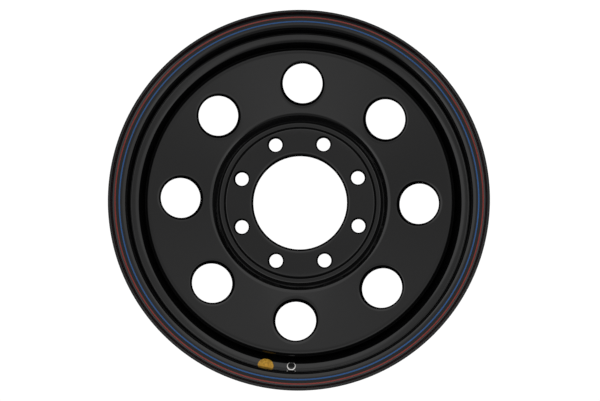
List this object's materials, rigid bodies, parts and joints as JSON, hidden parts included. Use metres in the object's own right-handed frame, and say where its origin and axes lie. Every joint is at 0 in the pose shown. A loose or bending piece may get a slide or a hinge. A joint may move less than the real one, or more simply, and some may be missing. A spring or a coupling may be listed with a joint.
{
  "type": "steel car wheel",
  "caption": "Gloss black pressed steel wheel without tyre: deep dished disc with round vents, open centre bore, conical stud holes, thin red and blue pinstripes on the outer flange.",
  "frame": {"origin": "centre of the centre bore, in the plane where the disc meets the hub", "axes": "+Z runs along the wheel axis towards the outer face; +X runs through the centre of one vent"},
  "size_m": [0.4712, 0.471, 0.1911],
  "materials": {
    "black_paint": "gloss black paint over steel",
    "red_tape": "gloss red pinstripe tape",
    "blue_tape": "gloss blue pinstripe tape",
    "yellow_label": "smooth printed yellow paper"
  },
  "bodies": {
    "root": {"rim": "black_paint", "disc": "black_paint", "disc_welds": "black_paint", "red_pinstripe": "red_tape", "blue_pinstripe": "blue_tape", "dot_label": "yellow_label"}
  },
  "joints": []
}
